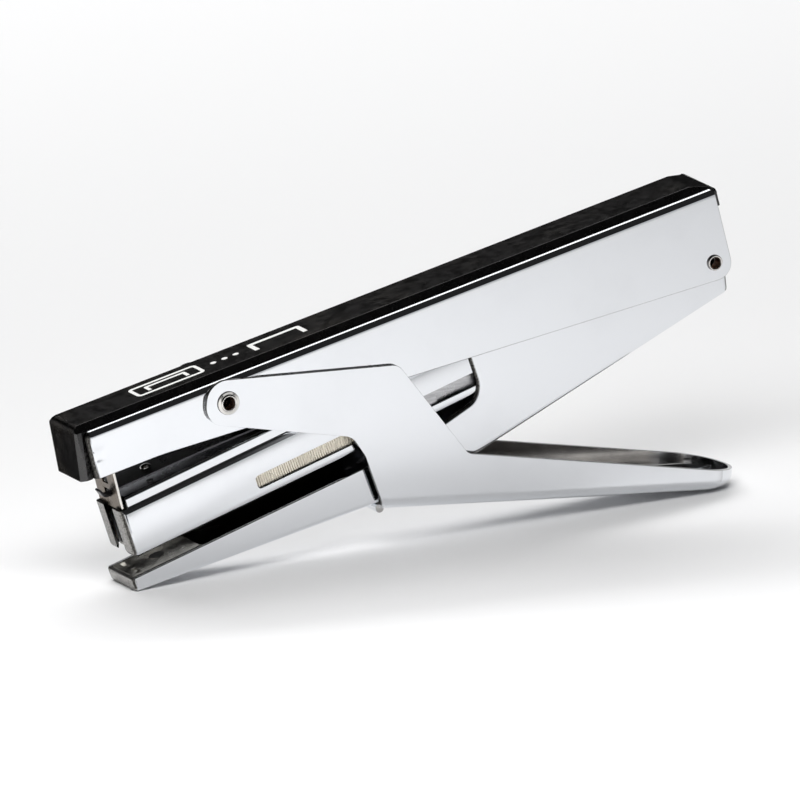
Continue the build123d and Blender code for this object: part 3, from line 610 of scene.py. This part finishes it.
def make_leaf_rivets():
    """The leaf spring's rivet and its domed button."""
    low, high = extent("leaf_spring_rivets", IN_MAGAZINE)
    leaf_top = extent("magazine_lid", IN_MAGAZINE)[1].z + 0.5
    head, button = 1.8, 1.32
    button_base = leaf_top + 1.62
    button_rise = high.z - leaf_top - 1.62
    shape = bmesh.new()
    domed_head(shape, (high.x - head, 0), leaf_top, head, 0.6, 1.0, low.z)
    domed_head(shape, (low.x + button, 0), button_base, button, button_rise, 0.8, leaf_top + 0.75)
    place = (IN_MAGAZINE, "magazine", (plated,), "plated_rivet", ("leaf_spring_rivets",))
    return finish_piece("leaf_rivets", shape, *place)


pivot_in_body = IN_BODY.inverted() @ front_pivot
make_hollow_rivets("front_rivets", "front_pivot_rivets", (pivot_in_body.x, pivot_in_body.z), FRONT_RIVET)
make_hollow_rivets("rear_rivets", "rear_pivot_rivets", (0.0, 0.0), REAR_RIVET)
make_staples()
make_coil()
make_print()
make_leaf_rivets()


# --------------------------------------------------------------------- studio


def floor_material():
    m = Shader("floor_pale")
    tone = m.noise(3.0, 2.0, 0.5)
    m.set(base_color=m.mix(tone, (0.90, 0.90, 0.90, 1), (0.92, 0.92, 0.925, 1)), roughness=0.8)
    return m.material


def make_floor():
    mesh = bpy.data.meshes.new("floor")
    shape = bmesh.new()
    bmesh.ops.create_grid(shape, x_segments=2, y_segments=2, size=12.0)
    shape.to_mesh(mesh)
    shape.free()
    floor = bpy.data.objects.new("floor", mesh)
    bpy.context.scene.collection.objects.link(floor)
    mesh.materials.append(floor_material())


def area_light(name, place, target, size, power):
    data = bpy.data.lights.new(name, "AREA")
    data.shape = "RECTANGLE"
    data.size, data.size_y = size
    data.energy = power
    light = bpy.data.objects.new(name, data)
    bpy.context.scene.collection.objects.link(light)
    light.location = place
    light.rotation_mode = "QUATERNION"
    light.rotation_quaternion = (Vector(target) - Vector(place)).to_track_quat("-Z", "Y")
    light.visible_camera = False
    return light


def make_world():
    """Bright low walls all round, and a dark ceiling above them."""
    world = bpy.data.worlds.new("studio")
    bpy.context.scene.world = world
    world.use_nodes = True
    tree = world.node_tree
    place = tree.nodes.new("ShaderNodeTexCoord")
    where = tree.nodes.new("ShaderNodeSeparateXYZ")
    tree.links.new(place.outputs["Generated"], where.inputs["Vector"])
    ramp = tree.nodes.new("ShaderNodeMapRange")
    ramp.interpolation_type = "SMOOTHSTEP"
    tree.links.new(where.outputs["Z"], ramp.inputs["Value"])
    ramp.inputs["From Min"].default_value = 0.10
    ramp.inputs["From Max"].default_value = 0.26
    ramp.inputs["To Min"].default_value = 0.8
    ramp.inputs["To Max"].default_value = 0.02
    tree.links.new(ramp.outputs["Result"], tree.nodes["Background"].inputs["Strength"])
    tree.nodes["Background"].inputs["Color"].default_value = (0.97, 0.98, 1.0, 1)


FORWARD = Vector((0.4063, 0.8769, -0.2568)).normalized()
RIGHT = Vector((0.9003, -0.4321, -0.0511))


def make_camera():
    """A long lens from the front left, a little above, and turned by 3 degrees."""
    right = (RIGHT - RIGHT.dot(FORWARD) * FORWARD).normalized()
    up = right.cross(FORWARD)
    distance = 8.0
    width = 0.1882
    aim = rear_pivot + Vector((0, -0.0092, 0)) - 0.0741 * right - 0.0323 * up
    data = bpy.data.cameras.new("camera")
    data.sensor_width = 36.0
    data.lens = data.sensor_width * distance / width
    data.clip_start, data.clip_end = 0.1, 60.0
    camera = bpy.data.objects.new("camera", data)
    bpy.context.scene.collection.objects.link(camera)
    turn = Matrix((right, up, -FORWARD)).transposed()
    camera.matrix_world = Matrix.Translation(aim - FORWARD * distance) @ turn.to_4x4()
    bpy.context.scene.camera = camera


make_floor()
make_world()
area_light("softbox", (0.3203, 0.6915, 1.1741), (0, 0, 0), (2.0, 0.91), 10.0)
key = area_light("key", (-0.14, -0.26, 0.34), (-0.10, -0.18, 0), (0.3, 0.2), 1.45)
back = area_light("back", (0.1, 1.5, 1.2), (-0.1, 0.7, 0), (2.4, 0.6), 26.0)
for light in (key, back):
    light.visible_glossy = False
make_camera()
bpy.context.scene.view_settings.view_transform = "Standard"

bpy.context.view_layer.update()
